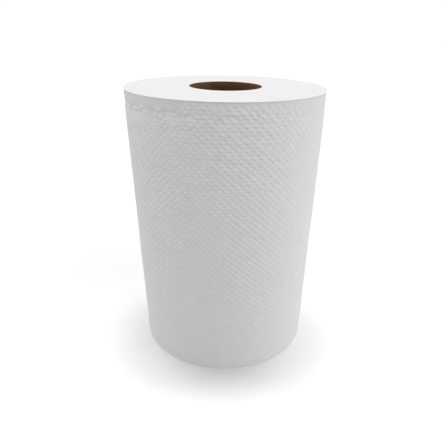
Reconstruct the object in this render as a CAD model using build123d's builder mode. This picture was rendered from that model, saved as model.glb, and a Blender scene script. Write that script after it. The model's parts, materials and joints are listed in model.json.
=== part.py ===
from build123d import *
import math
import os

# A white embossed paper towel roll: one long sheet wound on a brown paperboard tube and cut square
# at both ends. It stands on one end, with its axis along +Z and the origin on the axis at the
# lower end.

# Driving sizes, in millimetres
roll_width = 200.0  # along the axis, which is the width of the sheet
roll_diameter = 140.0  # over the outermost turn, at its free edge
core_bore_diameter = 48.9  # clear hole for a holder's spindle, 1.925 inch
core_wall = 0.95  # two plies of kraft board
wrap_clearance = 0.02  # between the board and the first turn
tail_thickness = 0.3  # one embossed sheet, the step at the free edge of the last turn
tail_angle = 118.0  # degrees from +X to that edge, anticlockwise from above, at the back left

# The wound edges of the sheet, as they show on the two cut ends: one shallow line that winds
# inwards from the rim to the core
shown_turns = 10  # bands of turns between the core and the rim
turn_line_width = 0.6
turn_line_depth = 0.25

# Sizes that follow
roll_radius = roll_diameter / 2
core_bore_radius = core_bore_diameter / 2
core_radius = core_bore_radius + core_wall
paper_bore_radius = core_radius + wrap_clearance
band_pitch = (roll_radius - paper_bore_radius) / shown_turns

QUARTERS = 4  # quarter circles in a turn
QUARTER_ANGLE = 360 / QUARTERS


def wind(start_radius, pitch, turns):
    """Quarter circles, each tangent to the next, that wind inwards by one pitch a turn.

    Their centres are the corners of a small square around the axis, and each has the radius of
    the one before less the square's side.
    """
    side = pitch / QUARTERS
    corner_reach = side / math.sqrt(2)
    arcs = []
    for number in range(turns * QUARTERS):
        start_angle = QUARTER_ANGLE * number
        corner_angle = math.radians(start_angle - QUARTER_ANGLE / 2)
        corner = (corner_reach * math.cos(corner_angle), corner_reach * math.sin(corner_angle))
        radius = start_radius - side / 2 - side * number
        arcs.append(CenterArc(corner, radius, start_angle, QUARTER_ANGLE))
    return arcs


def wound_end(height):
    """A plane across the roll at this height, turned so that its X axis points to the tail."""
    return Plane((0, 0, height), x_dir=Vector(1, 0).rotate(Axis.Z, tail_angle))


# The core: a plain tube, cut flush with the paper
with BuildPart() as core:
    with BuildSketch():
        Circle(core_radius)
        Circle(core_bore_radius, mode=Mode.SUBTRACT)
    extrude(amount=roll_width)
core.part.label = "core"

# The wound paper: its outline loses one sheet in a turn, and steps out again at the tail
with BuildPart() as paper_roll:
    with BuildSketch(wound_end(0)):
        with BuildLine():
            outer_turn = wind(roll_radius, tail_thickness, 1)
            Line(outer_turn[-1] @ 1, outer_turn[0] @ 0)
        make_face()
        Circle(paper_bore_radius, mode=Mode.SUBTRACT)
    extrude(amount=roll_width)
    for height in (0, roll_width):
        with BuildLine(wound_end(height)) as turn_line:
            wind(roll_radius - band_pitch / 2, band_pitch, shown_turns - 1)
        path = turn_line.wire()
        inward = Vector(0, 0, 1 if height == 0 else -1)
        with BuildSketch(Plane(path @ 0, x_dir=inward, z_dir=path % 0)):
            with BuildLine():
                Polyline(
                    (0, -turn_line_width / 2),
                    (turn_line_depth, 0),
                    (0, turn_line_width / 2),
                    close=True,
                )
            make_face()
        sweep(path=path, mode=Mode.SUBTRACT)
paper_roll.part.label = "paper_roll"

os.makedirs("parts", exist_ok=True)
export_step(core.part, "parts/core.step")
export_step(paper_roll.part, "parts/paper_roll.step")
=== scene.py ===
import json
import math

import bpy
import numpy as np
from mathutils import Matrix, Vector


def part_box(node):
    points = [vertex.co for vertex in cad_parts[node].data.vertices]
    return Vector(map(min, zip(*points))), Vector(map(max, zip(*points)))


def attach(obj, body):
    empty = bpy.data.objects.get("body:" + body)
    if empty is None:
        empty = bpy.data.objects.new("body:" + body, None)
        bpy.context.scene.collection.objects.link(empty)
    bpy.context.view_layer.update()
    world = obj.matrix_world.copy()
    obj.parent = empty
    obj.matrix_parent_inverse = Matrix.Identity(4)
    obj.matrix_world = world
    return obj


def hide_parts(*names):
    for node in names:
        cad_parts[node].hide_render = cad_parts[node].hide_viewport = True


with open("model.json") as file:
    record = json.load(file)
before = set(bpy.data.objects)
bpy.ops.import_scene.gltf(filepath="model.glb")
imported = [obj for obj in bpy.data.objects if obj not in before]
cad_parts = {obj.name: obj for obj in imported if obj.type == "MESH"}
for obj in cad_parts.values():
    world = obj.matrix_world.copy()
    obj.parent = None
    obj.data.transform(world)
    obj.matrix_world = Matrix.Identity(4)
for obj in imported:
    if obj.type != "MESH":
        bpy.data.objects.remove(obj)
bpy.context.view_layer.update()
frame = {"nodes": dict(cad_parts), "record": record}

# A white paper towel roll on a brown board core. The sheet is embossed all over with small oval
# pits, which are real relief here, and so are the turns on the two cut ends and the sheet's free
# edge at the back. Everything is in metres, in the part's own frame: the axis is +Z.

MM = 0.001
TURN = 2 * math.pi


# Sizes read from the frame

paper_node = frame["nodes"]["paper_roll"]
paper_points = np.array([vertex.co for vertex in paper_node.data.vertices])
paper_radii = np.hypot(paper_points[:, 0], paper_points[:, 1])
tail_point = paper_points[paper_radii.argmax()]
ROLL_RADIUS = float(paper_radii.max())
PAPER_BORE_RADIUS = float(paper_radii.min())
TAIL_ANGLE = math.atan2(tail_point[1], tail_point[0])
ROLL_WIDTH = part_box("paper_roll")[1].z
CORE_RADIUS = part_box("core")[1].x
CORE_BORE_RADIUS = next(
    mount["dims"]["r_mm"] * MM for mount in frame["record"]["mounts"] if mount["name"] == "core_bore"
)

# The sheet: one turn steps in by one sheet, and the free edge lifts a little off the turn below
SHEET = 0.3 * MM
LIP_LIFT = 0.55 * MM
LIP_LEAST_SHARE = 0.6
LIP_WAVES = (1, 6, 8)

# The pits, in rows that go round the roll, each row half a space along from the last. They aren't
# all pressed equally deep, and each sits a little off its place, by this share of a space
PITS_ROUND = 88
PIT_ROWS = 88
PIT_REACH_ROUND = 2.15 * MM
PIT_REACH_UP = 1.15 * MM
PIT_DEPTH = 0.65 * MM
PIT_FLAT_FLOOR = 0.12
PIT_LEAST_SHARE = 0.45
PIT_DRIFT = 0.065
PIT_SEED = 21
PIT_PHASE_ROUND = 0.52
PIT_PHASE_UP = 0.44

# The emboss fades in over this strip at each end, whose width varies by this much round the roll.
# Waves are given as how many go round, how many go up, and the seed of their random heights
PLAIN_EDGE = 4 * MM
PLAIN_EDGE_VARIES = 2 * MM
PLAIN_EDGE_LEAST = 0.4 * MM
PLAIN_EDGE_WAVES = (9, 1, 84)

# Where the emboss is pressed flatter: towards the foot, down to this share below the first of these
# heights and whole from the second, both as shares of the width. And on two sides, at these angles
# from +X, this far round and down to this share
FOOT_EMBOSS = 0.22
FOOT_LOW = 0.05
FOOT_HIGH = 0.72
FLAT_SIDES = [
    (math.radians(-28), math.radians(34), 0.3),
    (math.radians(-158), math.radians(30), 0.6),
]

# The slack, puckers and creases of the sheet: how deep each is, and its waves
SHEET_WAVES = [
    (0.12 * MM, (14, 5, 3)),
    (0.08 * MM, (38, 36, 4)),
    (0.085 * MM, (60, 96, 7)),
]

# The sheet draws in a little under the rim: this deep, and starting, deepest and ending this far
# below it. A crinkled band lies there too, stronger in some patches round the roll than in others
RIM_NECK = 0.36 * MM
NECK_STARTS = 0.1 * MM
NECK_DEEPEST = 1.3 * MM
NECK_ENDS = 8 * MM
CRINKLE = 0.82 * MM
CRINKLE_BELOW_RIM = 9 * MM
CRINKLE_REACH = 3.5 * MM
CRINKLE_WAVES = (92, 112, 6)
CRINKLE_LEAST_SHARE = 0.35
CRINKLE_PATCHES = (7, 1, 252)
CRINKLE_PATCH_FULL = 0.7

# The mesh of the outer turn
STEPS_PER_PIT = 10
COLUMNS = PITS_ROUND * STEPS_PER_PIT
ROWS = 440
LIP_COLUMNS = 20
SECTORS = 5
RIM_ROUNDING = 0.25 * MM
RIM_STEPS = 3

# Where a sector's grids lie across its map: the face, then a strip each for the lip's two grids
MAIN_MAP_WIDTH = 0.94
STRIPS_START = 0.95
STRIP_PITCH = 0.02
STRIP_WIDTH = 0.015

# The lines of the turns on the cut ends
SHOWN_TURNS = 10
TURN_LINE_WIDTH = 0.6 * MM
TURN_LINE_DEPTH = 0.25 * MM
BAND_PITCH = (ROLL_RADIUS - PAPER_BORE_RADIUS) / SHOWN_TURNS


def smooth_step(low, high, value):
    """0 up to low, 1 from high, and a soft rise between."""
    share = np.clip((value - low) / (high - low), 0, 1)
    return share * share * (3 - 2 * share)


def smooth_noise(turns, rise, cells_round, cells_up, seed):
    """Soft random waves from -1 to 1 over the unrolled sheet, with no break round the roll.

    turns counts turns round the roll and rise runs from 0 to 1 up it, as arrays of one shape.
    """
    grid = np.random.default_rng(seed).uniform(-1, 1, (cells_up + 2, cells_round))
    across = turns * cells_round
    up = rise * cells_up
    column = np.floor(across).astype(int)
    row = np.clip(np.floor(up).astype(int), 0, cells_up)
    share_across = smooth_step(0, 1, across - column)
    share_up = smooth_step(0, 1, up - row)
    left, right = column % cells_round, (column + 1) % cells_round
    low = grid[row, left] * (1 - share_across) + grid[row, right] * share_across
    high = grid[row + 1, left] * (1 - share_across) + grid[row + 1, right] * share_across
    return low * (1 - share_up) + high * share_up


# Meshes


def make_piece(name, points, faces, material, replaced, maps, normals=None):
    """Make this mesh and let it ride on the roll. maps gives a UV for each point, by map name."""
    mesh = bpy.data.meshes.new(name)
    mesh.from_pydata(points.tolist(), [], faces if isinstance(faces, list) else faces.tolist())
    mesh.polygons.foreach_set("use_smooth", np.ones(len(mesh.polygons), bool))
    corners = np.zeros(len(mesh.loops), np.int32)
    mesh.loops.foreach_get("vertex_index", corners)
    for map_name, spots in maps.items():
        layer = mesh.uv_layers.new(name=map_name)
        layer.data.foreach_set("uv", spots[corners].astype(np.float32).ravel())
    mesh.validate()
    if normals is not None:
        mesh.normals_split_custom_set_from_vertices(normals.tolist())
    mesh.materials.append(material)
    piece = bpy.data.objects.new(name, mesh)
    bpy.context.scene.collection.objects.link(piece)
    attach(piece, "root")
    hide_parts(replaced)


def grid_faces(rows, columns):
    """Four-cornered faces over a grid of points that is stored row by row."""
    corner = (np.arange(rows - 1)[:, None] * columns + np.arange(columns - 1)).ravel()
    return np.stack([corner, corner + 1, corner + columns + 1, corner + columns], 1)


def bridge(left, right):
    """Triangles between two lines of (place, point number), both sorted by place."""
    faces = []
    i = j = 0
    while i < len(left) - 1 or j < len(right) - 1:
        step_left = j == len(right) - 1 or (i < len(left) - 1 and left[i + 1][0] <= right[j + 1][0])
        if step_left:
            faces.append((left[i][1], left[i + 1][1], right[j][1]))
            i += 1
        else:
            faces.append((left[i][1], right[j + 1][1], right[j][1]))
            j += 1
    return faces


def place(radius, angle, height):
    """Points at these radii, angles from the tail and heights."""
    world = angle + TAIL_ANGLE
    return np.stack([radius * np.cos(world), radius * np.sin(world), height + 0 * radius], -1)


# The outer turn


def outline(angle):
    """The roll's radius: the sheet steps in by its own thickness in one turn from the tail."""
    return ROLL_RADIUS - SHEET * angle / TURN


def pits(angle, height):
    """How deep the emboss is at each spot, from 0 on the land to 1 at the middle of a pit."""
    across = angle / TURN * PITS_ROUND + PIT_PHASE_ROUND
    up = height / ROLL_WIDTH * PIT_ROWS + PIT_PHASE_UP
    depth = np.zeros_like(across)
    rng = np.random.default_rng(PIT_SEED)
    strength = rng.uniform(PIT_LEAST_SHARE, 1.0, (PIT_ROWS + 4, PITS_ROUND))
    drift = rng.normal(0, PIT_DRIFT, (2, PIT_ROWS + 4, PITS_ROUND))
    for odd in (0, 1):
        row = (2 * np.round((up - odd) / 2) + odd).astype(int)
        column = np.round(across - odd / 2).astype(int)
        number = column % PITS_ROUND
        pits_off = across - odd / 2 - column + drift[0, row, number]
        rows_off = up - row + drift[1, row, number]
        off_across = pits_off * TURN * ROLL_RADIUS / PITS_ROUND
        off_up = rows_off * ROLL_WIDTH / PIT_ROWS
        reach = np.hypot(off_across / PIT_REACH_ROUND, off_up / PIT_REACH_UP)
        pit = 1 - smooth_step(PIT_FLAT_FLOOR, 1, reach)
        depth = np.maximum(depth, pit * strength[row, number])
    return depth


def emboss_share(angle, height, from_end):
    """How much of the emboss is left at each spot, from 0 at the plain edges to 1."""
    turns = angle / TURN
    plain_edge = PLAIN_EDGE + PLAIN_EDGE_VARIES * smooth_noise(turns, 0 * turns, *PLAIN_EDGE_WAVES)
    sides = np.ones_like(angle)
    for side, reach, share in FLAT_SIDES:
        off_side = (angle + TAIL_ANGLE - side + math.pi) % TURN - math.pi
        sides *= 1 - (1 - share) * np.exp(-((off_side / reach) ** 2))
    foot = FOOT_EMBOSS + (1 - FOOT_EMBOSS) * smooth_step(FOOT_LOW, FOOT_HIGH, height / ROLL_WIDTH)
    return smooth_step(PLAIN_EDGE_LEAST, plain_edge, from_end) * sides * foot


def sink(angle, height):
    """How far the outer turn's face lies inside the roll's outline, never less than nothing."""
    turns = angle / TURN
    rise = np.clip(height / ROLL_WIDTH, 0, 1)
    from_end = np.minimum(height, ROLL_WIDTH - height)
    emboss = PIT_DEPTH * pits(angle, height) * emboss_share(angle, height, from_end)
    slack = 0 * turns
    for depth, waves in SHEET_WAVES:
        slack += depth * (1 + smooth_noise(turns, rise, *waves))
    below_rim = ROLL_WIDTH - height
    neck_in = smooth_step(NECK_STARTS, NECK_DEEPEST, below_rim)
    neck_out = 1 - smooth_step(NECK_DEEPEST, NECK_ENDS, below_rim)
    neck = RIM_NECK * neck_in * neck_out
    band = np.exp(-(((below_rim - CRINKLE_BELOW_RIM) / CRINKLE_REACH) ** 2))
    patch_noise = smooth_noise(turns, rise * 0, *CRINKLE_PATCHES)
    patches = smooth_step(0.0, CRINKLE_PATCH_FULL, patch_noise)
    where = CRINKLE_LEAST_SHARE + (1 - CRINKLE_LEAST_SHARE) * patches
    crinkle = CRINKLE * band * where * (1 + smooth_noise(turns, rise, *CRINKLE_WAVES))
    return emboss + slack + neck + crinkle


def lip_lift(angle, height):
    """How far the free end of the sheet stands off the turn below, at its edge and back from it."""
    back = angle / (LIP_COLUMNS * TURN / COLUMNS)
    share = np.clip(1 - back, 0, 1) ** 2
    rise = np.clip(height / ROLL_WIDTH, 0, 1)
    loose = LIP_LEAST_SHARE + (1 - LIP_LEAST_SHARE) * smooth_noise(angle * 0, rise, *LIP_WAVES)
    return LIP_LIFT * share * loose


def wall_rows():
    """Heights up the outer turn and how far the rounded rims draw it in there."""
    quarter = np.linspace(0, math.pi / 2, RIM_STEPS + 1)
    straight = np.linspace(RIM_ROUNDING, ROLL_WIDTH - RIM_ROUNDING, ROWS + 1)
    top = ROLL_WIDTH - RIM_ROUNDING * (1 - np.sin(quarter[1:]))
    drawn_in = RIM_ROUNDING * (1 - np.cos(quarter[1:]))
    heights = np.concatenate([ROLL_WIDTH - top[::-1], straight, top])
    inset = np.concatenate([drawn_in[::-1], np.zeros(ROWS + 1), drawn_in])
    return heights, inset


def outer_turn_points():
    """The outer turn as a grid, from the tail once round and on under the lifted edge."""
    heights, inset = wall_rows()
    angles = np.arange(COLUMNS + LIP_COLUMNS + 1) * TURN / COLUMNS
    angle, height = np.meshgrid(angles, heights)
    radius = outline(angle) - sink(angle, height) - inset[:, None] + lip_lift(angle, height)
    return angle, height, place(radius, angle, height), radius


def grid_normals(points):
    """Normals of a grid of points, so that its sectors meet without a line."""
    along = np.gradient(points, axis=1)
    up = np.gradient(points, axis=0)
    normals = np.cross(along, up)
    return normals / np.linalg.norm(normals, axis=2, keepdims=True)


def make_outer_turn(material):
    """The outer turn in sectors, with the underside and the cut edge of its free end.

    Returns the radius of each point of its grid, which the cut ends are fitted to.
    """
    angle, height, points, radius = outer_turn_points()
    normals = grid_normals(points)
    columns = angle.shape[1]
    per_sector = COLUMNS // SECTORS
    for number in range(SECTORS):
        first = number * per_sector
        last = columns - 1 if number == SECTORS - 1 else first + per_sector
        part = np.s_[:, first : last + 1]
        grids = [(angle[part], height[part], points[part], normals[part])]
        if number == 0:
            lip = np.s_[:, LIP_COLUMNS::-1]
            under = place(radius[lip] - SHEET, angle[lip], height[lip])
            grids.append((angle[lip], height[lip], under, -normals[lip]))
            edge = np.stack([under[:, -1], points[:, 0]], 1)
            edge_angle = np.stack([angle[:, 0] - SHEET / ROLL_RADIUS, angle[:, 0]], 1)
            facing = -place(np.ones(1), np.array([TURN / 4]), np.zeros(1))[0]
            edge_normals = np.broadcast_to(facing, edge.shape)
            grids.append((edge_angle, height[:, :2], edge, edge_normals))
        join_grids(f"outer_turn_{number + 1}", grids, material)
    return radius


def join_grids(name, grids, material):
    """One piece from several grids. The first fills most of its map, the others a strip beside it."""
    all_points, all_normals, all_faces, sheet_map, bake_map = [], [], [], [], []
    start = 0
    for number, (angle, height, points, normals) in enumerate(grids):
        rows, columns = angle.shape
        all_faces.append(grid_faces(rows, columns) + start)
        start += rows * columns
        all_points.append(points.reshape(-1, 3))
        all_normals.append(normals.reshape(-1, 3))
        arc = angle * ROLL_RADIUS
        sheet_map.append(np.stack([arc / MM, height / MM], -1).reshape(-1, 2))
        share = (arc - arc.min()) / (arc.max() - arc.min())
        if number == 0:
            across = MAIN_MAP_WIDTH * share
        else:
            across = STRIPS_START + STRIP_PITCH * (number - 1) + STRIP_WIDTH * share
        bake_map.append(np.stack([across, height / ROLL_WIDTH], -1).reshape(-1, 2))
    make_piece(
        name,
        np.concatenate(all_points),
        np.concatenate(all_faces),
        material,
        "paper_roll",
        {"Sheet": np.concatenate(sheet_map), "OFBake": np.concatenate(bake_map)},
        np.concatenate(all_normals),
    )


# The cut ends

END_COLUMNS = COLUMNS // 2
LAND_STEPS = 6
MARGIN_STEPS = 6
END_MAP_MARGIN = 1.02

# The line of the turns runs out over this angle at its two ends, the turn under the outer one lies
# this far down at the cut, and the turns between the lines are this uneven
LINE_FADE = 0.15 * TURN
NEXT_TURN_DROP = 0.05 * MM
TURNS_UNEVEN = 0.03 * MM
TURNS_UNEVEN_WAVES = 97
TURNS_UNEVEN_SEED = 40


def turn_line(angle, number):
    """The radius of the turns' line at an angle from the tail, a number of turns in."""
    return ROLL_RADIUS - BAND_PITCH * (0.5 + angle / TURN + number)


def end_stations(angle, rim, lines):
    """Radii from the rim to the bore of a cut end, at one angle from the tail.

    Each comes with its turn and its step: -1 is the bottom of the turns' line, 0 is an edge of the
    line or of the paper, and more is a step across the land between.
    """
    stations = []
    half = TURN_LINE_WIDTH / 2
    outer = rim
    for number in range(lines):
        middle = turn_line(angle, number)
        steps = MARGIN_STEPS if number == 0 else LAND_STEPS
        for step in range(steps):
            share = step / steps
            stations.append((outer + (middle + half - outer) * share, number, step))
        stations.append((middle + half, number, 0))
        stations.append((middle, number, -1))
        outer = middle - half
    for step in range(MARGIN_STEPS):
        share = step / MARGIN_STEPS
        stations.append((outer + (PAPER_BORE_RADIUS - outer) * share, lines, step))
    stations.append((PAPER_BORE_RADIUS, lines, 0))
    return stations


def line_depth(angle, number):
    """The line's depth, which runs out to nothing at its two ends."""
    along = angle + TURN * number
    whole = TURN * (SHOWN_TURNS - 1)
    start = smooth_step(0, LINE_FADE, along)
    end = smooth_step(0, LINE_FADE, whole - along)
    return TURN_LINE_DEPTH * start * end


def end_depth(angle, number, step):
    """How deep a spot of a cut end lies: in the line, or in the slight unevenness of the turns."""
    if step == -1:
        return float(line_depth(angle, number))
    if step == 0:
        return 0.0
    turns = np.array([angle / TURN + number])
    waves = smooth_noise(turns, turns * 0, TURNS_UNEVEN_WAVES, 1, TURNS_UNEVEN_SEED + step)
    return float(TURNS_UNEVEN * (1 + waves[0]))


def make_cut_end(name, top, wall_radius, material):
    """One cut end, from the outer turn's rim to the bore, with the free end of the sheet apart."""
    points, faces = [], []
    row = -1 if top else 0
    end_height = ROLL_WIDTH if top else 0.0
    sign = -1 if top else 1

    def add(radius, angle, depth=0.0):
        points.append(place(np.array(radius), np.array(angle), np.array(end_height + sign * depth)))
        return len(points) - 1

    fine = [number * TURN / COLUMNS for number in range(COLUMNS + LIP_COLUMNS + 1)]
    rim = [add(wall_radius[row, number], angle) for number, angle in enumerate(fine)]
    first = [
        add(wall_radius[row, number] - SHEET, fine[number], NEXT_TURN_DROP)
        for number in range(COLUMNS + 1)
    ]
    for number in range(COLUMNS):
        quad = (rim[number], rim[number + 1], first[number + 1], first[number])
        faces.append(quad)

    # The main face starts at the turn below the lip, and from there on one sheet inside the rim
    outer = [rim[COLUMNS + number] for number in range(LIP_COLUMNS)] + first[LIP_COLUMNS:]
    seam = []
    columns = []
    for number in range(END_COLUMNS + 1):
        angle = fine[2 * number]
        outer_radius = float(np.hypot(*points[outer[2 * number]][:2]))
        start = outer_radius - SHEET
        if number in (0, END_COLUMNS):
            if number == 0:
                stations = end_stations(0.0, wall_radius[row, COLUMNS] - 2 * SHEET, SHOWN_TURNS)
                seam = [(-r, add(r, 0.0, end_depth(0.0, n, s))) for r, n, s in stations]
            columns.append(seam)
            continue
        stations = end_stations(angle, start, SHOWN_TURNS - 1)
        columns.append([(-r, add(r, angle, end_depth(angle, n, s))) for r, n, s in stations])
    for number in range(END_COLUMNS):
        here, there = columns[number], columns[number + 1]
        a, b, c = outer[2 * number], outer[2 * number + 1], outer[2 * number + 2]
        inner_here, inner_there = here[0][1], there[0][1]
        if number == 0:
            faces.append((a, b, first[COLUMNS]))
            faces.append((first[COLUMNS], b, inner_here))
        else:
            faces.append((a, b, inner_here))
        faces.append((b, c, inner_there))
        faces.append((b, inner_there, inner_here))
        faces += [(q, p, s) for p, q, s in bridge(here, there)]
    points = np.array(points)
    if not top:
        faces = [face[::-1] for face in faces]
    flat = points[:, :2] / (2 * ROLL_RADIUS * END_MAP_MARGIN) + 0.5
    make_piece(name, points, faces, material, "paper_roll", {"OFBake": flat})


def make_inner_turn(material):
    """The first turn, against the core."""
    angle, height = np.meshgrid(np.linspace(TURN, 0, END_COLUMNS + 1), np.array([0.0, ROLL_WIDTH]))
    points = place(PAPER_BORE_RADIUS + 0 * angle, angle, height).reshape(-1, 3)
    arc = angle * PAPER_BORE_RADIUS
    sheet_map = np.stack([arc / MM, height / MM], -1).reshape(-1, 2)
    bake_map = np.stack([angle / TURN, height / ROLL_WIDTH], -1).reshape(-1, 2)
    faces = grid_faces(2, END_COLUMNS + 1)
    maps = {"Sheet": sheet_map, "OFBake": bake_map}
    make_piece("inner_turn", points, faces, material, "paper_roll", maps)


# The core

CORE_COLUMNS = 160
PLY_ADVANCE = 100 * MM
PLY_SEAM_WIDTH = 0.7 * MM
PLY_SEAM_DEPTH = 0.22 * MM
PLY_LANDS = 20

# Where the core's faces lie up its map: the bore, the outside and the two cut ends
BORE_MAP_TOP = 0.7
OUTSIDE_MAP_LOW = 0.72
OUTSIDE_MAP_TALL = 0.14
TOP_CUT_MAP = 0.88
BOTTOM_CUT_MAP = 0.95
CUT_MAP_TALL = 0.05

# The core's cut end, as shares of the wall from the bore out, and how deep it lies there
CUT_PROFILE = [
    (0.0, 0.12 * MM),
    (0.12, 0.0),
    (0.42, 0.02 * MM),
    (0.5, 0.10 * MM),
    (0.58, 0.02 * MM),
    (0.9, 0.0),
    (1.0, 0.05 * MM),
]
CUT_ROUGHNESS = 0.05 * MM
CUT_ROUGHNESS_SEED = 11

# No point of the ply seam comes nearer to the cut ends than this
SEAM_END_MARGIN = 0.02 * MM


def make_core(material):
    """The board tube: the seam of its inner ply winds up the bore, and its cut ends show two plies."""
    points, faces, sheet_map, bake_map = [], [], [], []

    def add(radius, angle, height, across, up):
        points.append(place(np.array(radius), np.array(angle), np.array(height)))
        sheet_map.append((angle * CORE_RADIUS / MM, height / MM + (radius - CORE_RADIUS) / MM))
        bake_map.append((across, up))
        return len(points) - 1

    angles = np.linspace(0, TURN, CORE_COLUMNS + 1)
    offsets = [(0.0, 0.0), (PLY_SEAM_WIDTH / 2, PLY_SEAM_DEPTH), (PLY_SEAM_WIDTH, 0.0)]
    land = PLY_ADVANCE - PLY_SEAM_WIDTH
    offsets += [(PLY_SEAM_WIDTH + land * step / PLY_LANDS, 0.0) for step in range(1, PLY_LANDS)]
    # The bore
    columns = []
    for angle in angles:
        line = [(0.0, 0.0), (ROLL_WIDTH, 0.0)]
        for turn in range(-2, int(ROLL_WIDTH / PLY_ADVANCE) + 1):
            for offset, depth in offsets:
                height = turn * PLY_ADVANCE + offset + PLY_ADVANCE * angle / TURN
                if SEAM_END_MARGIN < height < ROLL_WIDTH - SEAM_END_MARGIN:
                    line.append((height, depth))
        line.sort()
        column = []
        for height, depth in line:
            up = BORE_MAP_TOP * height / ROLL_WIDTH
            column.append((height, add(CORE_BORE_RADIUS + depth, angle, height, angle / TURN, up)))
        columns.append(column)
    for here, there in zip(columns, columns[1:]):
        faces += bridge(here, there)
    # The outside, which the paper hides
    outside = []
    for height in (0.0, ROLL_WIDTH):
        up = OUTSIDE_MAP_LOW + OUTSIDE_MAP_TALL * height / ROLL_WIDTH
        outside.append([add(CORE_RADIUS, angle, height, angle / TURN, up) for angle in angles])
    for low, high in zip(zip(outside[0], outside[0][1:]), zip(outside[1], outside[1][1:])):
        faces.append((low[0], low[1], high[1], high[0]))
    # The cut ends
    wall = CORE_RADIUS - CORE_BORE_RADIUS
    rng = np.random.default_rng(CUT_ROUGHNESS_SEED)
    for top in (True, False):
        rows = []
        for share, drop in CUT_PROFILE:
            rough = rng.uniform(0, CUT_ROUGHNESS, CORE_COLUMNS)
            rough = np.append(rough, rough[0])
            row = []
            for angle, more in zip(angles, rough):
                depth = drop + more
                height = ROLL_WIDTH - depth if top else depth
                up = (TOP_CUT_MAP if top else BOTTOM_CUT_MAP) + CUT_MAP_TALL * share
                row.append(add(CORE_BORE_RADIUS + wall * share, angle, height, angle / TURN, up))
            rows.append(row)
        for inner, outer in zip(rows, rows[1:]):
            for i in range(CORE_COLUMNS):
                face = (inner[i], outer[i], outer[i + 1], inner[i + 1])
                faces.append(face if top else face[::-1])
    maps = {"Sheet": np.array(sheet_map), "OFBake": np.array(bake_map)}
    make_piece("core_tube", np.array(points), faces, material, "core", maps)


# Materials


def add_node(tree, kind, values=None, **settings):
    """A shader node with these settings, its inputs set to these values or linked to these sockets."""
    node = tree.nodes.new(kind)
    for name, value in settings.items():
        setattr(node, name, value)
    for name, value in (values or {}).items():
        if isinstance(value, bpy.types.NodeSocket):
            tree.links.new(value, node.inputs[name])
        else:
            node.inputs[name].default_value = value
    return node


def new_material(name):
    """An empty material and its Principled shader."""
    material = bpy.data.materials.new(name)
    material.use_nodes = True
    return material, material.node_tree, material.node_tree.nodes["Principled BSDF"]


def noise(tree, vector, scale, detail, roughness):
    """Noise at this scale over a vector, as a socket from 0 to 1."""
    values = {"Vector": vector, "Scale": scale, "Detail": detail, "Roughness": roughness}
    return add_node(tree, "ShaderNodeTexNoise", values).outputs["Fac"]


def stretched(tree, vector, scale):
    """The vector with each axis scaled on its own."""
    return add_node(tree, "ShaderNodeMapping", {"Vector": vector, "Scale": scale}).outputs["Vector"]


def shades(tree, factor, dark, light):
    """Colours from dark to light as factor goes from 0 to 1."""
    node = add_node(tree, "ShaderNodeMix", {"Factor": factor}, data_type="RGBA")
    node.inputs[6].default_value = (*dark, 1)
    node.inputs[7].default_value = (*light, 1)
    return node.outputs[2]


def bump(tree, height, distance, under=None):
    """A bump from a height of 0 to 1, this distance tall in metres, on top of another if given."""
    values = {"Height": height, "Distance": distance, "Strength": 1.0}
    if under is not None:
        values["Normal"] = under
    return add_node(tree, "ShaderNodeBump", values).outputs["Normal"]


PAPER_DARK = (0.82, 0.82, 0.82)
PAPER_LIGHT = (0.88, 0.88, 0.88)
# The cut ends are coloured a little darker than the sheet: painted shade for the fine shadows in the
# gaps between the turns' cut edges
CUT_SHADED_DARK = (0.795, 0.795, 0.795)
CUT_SHADED_LIGHT = (0.855, 0.855, 0.855)
BOARD_DARK = (0.10, 0.045, 0.013)
BOARD_LIGHT = (0.215, 0.104, 0.034)

# How fine the marks are: about this many to a millimetre of the sheet or the board, round and up,
# and to a metre on the cut ends
CREPE_SCALE = (2.6, 0.32, 1.0)
FIBRE_SCALE = 3.2
CLOUD_SCALE = 0.12
CUT_TURNS_SCALE = 3200.0
TORN_SCALE = 2500.0
BOARD_FIBRE_SCALE = (1.2, 3.6, 1.0)
BOARD_CLOUD_SCALE = 0.2

# Added to a spot's distance from the axis, as shares of its x and y, so that the fine rings of the
# cut ends aren't perfect circles
RING_DRIFT = (0.012, 0.012, 0.0)

PAPER_ROUGHNESS = 0.95
PAPER_SHEEN = 0.15
BOARD_ROUGHNESS = 0.8
BOARD_SHEEN = 0.25


def paper_material():
    """Soft white tissue: crepe lines across the sheet, fine fibres and a faint cloudiness."""
    material, tree, shader = new_material("towel_paper")
    sheet = add_node(tree, "ShaderNodeUVMap", uv_map="Sheet").outputs["UV"]
    crepe = noise(tree, stretched(tree, sheet, CREPE_SCALE), 1.0, 3.0, 0.6)
    fibres = noise(tree, sheet, FIBRE_SCALE, 3.0, 0.7)
    clouds = noise(tree, sheet, CLOUD_SCALE, 3.0, 0.6)
    colour = shades(tree, clouds, PAPER_DARK, PAPER_LIGHT)
    tree.links.new(colour, shader.inputs["Base Color"])
    relief = bump(tree, fibres, 0.03 * MM, bump(tree, crepe, 0.05 * MM))
    tree.links.new(relief, shader.inputs["Normal"])
    shader.inputs["Roughness"].default_value = PAPER_ROUGHNESS
    shader.inputs["Specular IOR Level"].default_value = PAPER_SHEEN
    return material


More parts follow.
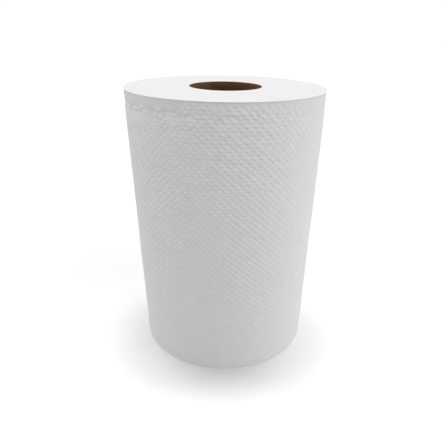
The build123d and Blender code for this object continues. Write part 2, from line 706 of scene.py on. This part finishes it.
def cut_material():
    """The cut edges of the turns: fine lines that follow the winding, and torn fibres. The colour is
    painted a little darker than the sheet's, as shade in the gaps between the turns.
    """
    material, tree, shader = new_material("cut_turns")
    spot = add_node(tree, "ShaderNodeTexCoord").outputs["Object"]
    flat = add_node(tree, "ShaderNodeVectorMath", {0: spot, 1: (1.0, 1.0, 0.0)}, operation="MULTIPLY")
    length = add_node(tree, "ShaderNodeVectorMath", {0: flat.outputs["Vector"]}, operation="LENGTH")
    along = add_node(
        tree, "ShaderNodeCombineXYZ", {"X": length.outputs["Value"], "Y": 0.0, "Z": 0.0}
    ).outputs["Vector"]
    drift = add_node(
        tree, "ShaderNodeVectorMath", {0: spot, 1: RING_DRIFT}, operation="MULTIPLY"
    )
    winding = add_node(
        tree, "ShaderNodeVectorMath", {0: along, 1: drift.outputs["Vector"]}, operation="ADD"
    ).outputs["Vector"]
    turns = noise(tree, winding, CUT_TURNS_SCALE, 2.0, 0.6)
    torn = noise(tree, spot, TORN_SCALE, 2.0, 0.7)
    # Painted shade: these colours are darker than the sheet's, for the gaps between the turns' edges;
    # the lines along the winding are the paper's own tone
    colour = shades(tree, turns, CUT_SHADED_DARK, CUT_SHADED_LIGHT)
    tree.links.new(colour, shader.inputs["Base Color"])
    relief = bump(tree, torn, 0.03 * MM, bump(tree, turns, 0.06 * MM))
    tree.links.new(relief, shader.inputs["Normal"])
    shader.inputs["Roughness"].default_value = PAPER_ROUGHNESS
    shader.inputs["Specular IOR Level"].default_value = PAPER_SHEEN
    return material


def board_material():
    """Kraft board: brown, with darker and lighter fibres and a faint sheen."""
    material, tree, shader = new_material("kraft_board")
    sheet = add_node(tree, "ShaderNodeUVMap", uv_map="Sheet").outputs["UV"]
    fibres = noise(tree, stretched(tree, sheet, BOARD_FIBRE_SCALE), 1.0, 4.0, 0.7)
    clouds = noise(tree, sheet, BOARD_CLOUD_SCALE, 3.0, 0.6)
    tone = add_node(tree, "ShaderNodeMath", {0: fibres, 1: clouds}, operation="ADD")
    half = add_node(tree, "ShaderNodeMath", {0: tone.outputs[0], 1: 0.5}, operation="MULTIPLY")
    colour = shades(tree, half.outputs[0], BOARD_DARK, BOARD_LIGHT)
    tree.links.new(colour, shader.inputs["Base Color"])
    tree.links.new(bump(tree, fibres, 0.04 * MM), shader.inputs["Normal"])
    shader.inputs["Roughness"].default_value = BOARD_ROUGHNESS
    shader.inputs["Specular IOR Level"].default_value = BOARD_SHEEN
    return material


# The studio

FLOOR_REACH = 6.0
FLOOR_SEEN = (1.0, 1.0, 1.0)
FLOOR_BOUNCE = (0.18, 0.18, 0.18)


def seen_rays(tree):
    """1 for rays from the camera, or through gloss or glass, and 0 for those that carry light."""
    path = add_node(tree, "ShaderNodeLightPath")
    total = path.outputs["Is Camera Ray"]
    for name in ("Is Glossy Ray", "Is Transmission Ray"):
        values = {0: total, 1: path.outputs[name]}
        total = add_node(tree, "ShaderNodeMath", values, operation="ADD", use_clamp=True).outputs[0]
    return total


def make_floor():
    """A floor that looks white and keeps the roll's shadow, and throws less light back up."""
    bpy.ops.mesh.primitive_plane_add(size=2 * FLOOR_REACH, location=(0, 0, 0))
    floor = bpy.context.object
    floor.name = "floor"
    material, tree, shader = new_material("floor_white")
    colour = shades(tree, seen_rays(tree), FLOOR_BOUNCE, FLOOR_SEEN)
    tree.links.new(colour, shader.inputs["Base Color"])
    shader.inputs["Roughness"].default_value = 1.0
    shader.inputs["Specular IOR Level"].default_value = 0.0
    floor.data.materials.append(material)


# The lamps overhead: how far behind the roll's axis they lean, how wide each is in the sky, how
# strong they are together, and for each how many degrees it leans to the right and its share
LAMP_LEAN = math.radians(8.7)
LAMP_ANGLE = math.radians(14)
LAMP_STRENGTH = 0.74 * math.pi
LAMPS = [(0, 0.4), (10, 0.3), (-10, 0.3)]

# The soft light: how many degrees to the right of the front it comes from, how many above the
# floor, how tightly, how low along the horizon (0 is not at all) and how strongly
LIGHTS = [
    (75, 0, 4, 20, 9.25),
    (-75, 0, 4, 20, 7.75),
    (50, 40, 12, 0, 1.43),
    (-50, 40, 12, 0, 0.77),
]


def make_world():
    """A white surround to look at, and for light a soft sky that is brighter to the sides."""
    world = bpy.data.worlds.new("studio")
    bpy.context.scene.world = world
    world.use_nodes = True
    tree = world.node_tree
    tree.nodes.clear()
    way = add_node(tree, "ShaderNodeTexCoord").outputs["Generated"]
    rise = add_node(tree, "ShaderNodeSeparateXYZ", {0: way}).outputs["Z"]
    square = add_node(tree, "ShaderNodeMath", {0: rise, 1: rise}, operation="MULTIPLY").outputs[0]
    level = add_node(tree, "ShaderNodeMath", {0: 1.0, 1: square}, operation="SUBTRACT").outputs[0]
    above_floor = add_node(
        tree, "ShaderNodeMath", {0: rise, 1: 0.0}, operation="GREATER_THAN"
    ).outputs[0]
    total = 0.0
    for right, above, tightness, lowness, strength in LIGHTS:
        side, height = math.radians(right), math.radians(above)
        out = math.cos(height)
        unit = Vector((math.sin(side) * out, -math.cos(side) * out, math.sin(height)))
        facing = add_node(tree, "ShaderNodeVectorMath", {0: way, 1: unit}, operation="DOT_PRODUCT")
        lit = add_node(tree, "ShaderNodeMath", {0: facing.outputs["Value"], 1: 0.0}, operation="MAXIMUM")
        lobe = add_node(tree, "ShaderNodeMath", {0: lit.outputs[0], 1: tightness}, operation="POWER")
        band = add_node(tree, "ShaderNodeMath", {0: level, 1: lowness}, operation="POWER")
        both = add_node(
            tree, "ShaderNodeMath", {0: lobe.outputs[0], 1: band.outputs[0]}, operation="MULTIPLY"
        )
        total = add_node(
            tree, "ShaderNodeMath", {0: both.outputs[0], 1: strength, 2: total}, operation="MULTIPLY_ADD"
        ).outputs[0]
    total = add_node(tree, "ShaderNodeMath", {0: total, 1: above_floor}, operation="MULTIPLY").outputs[0]
    light = add_node(tree, "ShaderNodeBackground", {"Color": (1, 1, 1, 1), "Strength": total})
    white = add_node(tree, "ShaderNodeBackground", {"Color": (1, 1, 1, 1), "Strength": 1.0})
    mixed = add_node(
        tree,
        "ShaderNodeMixShader",
        {0: seen_rays(tree), 1: light.outputs[0], 2: white.outputs[0]},
    )
    output = add_node(tree, "ShaderNodeOutputWorld")
    tree.links.new(mixed.outputs[0], output.inputs["Surface"])


def make_lamps():
    """Wide lamps overhead and a little behind, which throw the short soft shadow at the foot."""
    for right, share in LAMPS:
        lamp = bpy.data.objects.new("overhead", bpy.data.lights.new("overhead", "SUN"))
        lamp.data.energy = LAMP_STRENGTH * share
        lamp.data.angle = LAMP_ANGLE
        lamp.rotation_euler = (-LAMP_LEAN, math.radians(right), 0)
        bpy.context.scene.collection.objects.link(lamp)


# The camera, as it stands in the photograph: in front, above the roll's top and close, in a
# picture that was cut a little off the middle
CAMERA_BACK = 309.6 * MM
CAMERA_HEIGHT = 236.1 * MM
CAMERA_YAW = math.radians(1.565)
CAMERA_PITCH = math.radians(31.005)
CAMERA_ROLL = math.radians(1.148)
CAMERA_LENS = 32.77
CAMERA_SHIFT = (-0.0227, 0.1039)


def make_camera():
    """A camera that stands and looks as the photograph's did."""
    camera = bpy.data.objects.new("camera", bpy.data.cameras.new("camera"))
    camera.data.lens = CAMERA_LENS
    camera.data.shift_x, camera.data.shift_y = CAMERA_SHIFT
    camera.data.sensor_width = 36.0
    camera.data.clip_start = 10 * MM
    camera.data.clip_end = 3 * FLOOR_REACH
    level = Vector((math.cos(CAMERA_YAW), -math.sin(CAMERA_YAW), 0))
    ahead = Vector((math.sin(CAMERA_YAW), math.cos(CAMERA_YAW), 0))
    forward = ahead * math.cos(CAMERA_PITCH) - Vector((0, 0, math.sin(CAMERA_PITCH)))
    upright = level.cross(forward)
    right = level * math.cos(CAMERA_ROLL) + upright * math.sin(CAMERA_ROLL)
    up = upright * math.cos(CAMERA_ROLL) - level * math.sin(CAMERA_ROLL)
    turned = Matrix((right, up, -forward)).transposed().to_4x4()
    camera.matrix_world = Matrix.Translation((0, -CAMERA_BACK, CAMERA_HEIGHT)) @ turned
    bpy.context.scene.collection.objects.link(camera)
    bpy.context.scene.camera = camera


paper = paper_material()
cut_paper = cut_material()
wall_radius = make_outer_turn(paper)
make_cut_end("top_end", True, wall_radius, cut_paper)
make_cut_end("bottom_end", False, wall_radius, cut_paper)
make_inner_turn(paper)
make_core(board_material())
make_floor()
make_world()
make_lamps()
make_camera()
bpy.context.scene.view_settings.view_transform = "Standard"
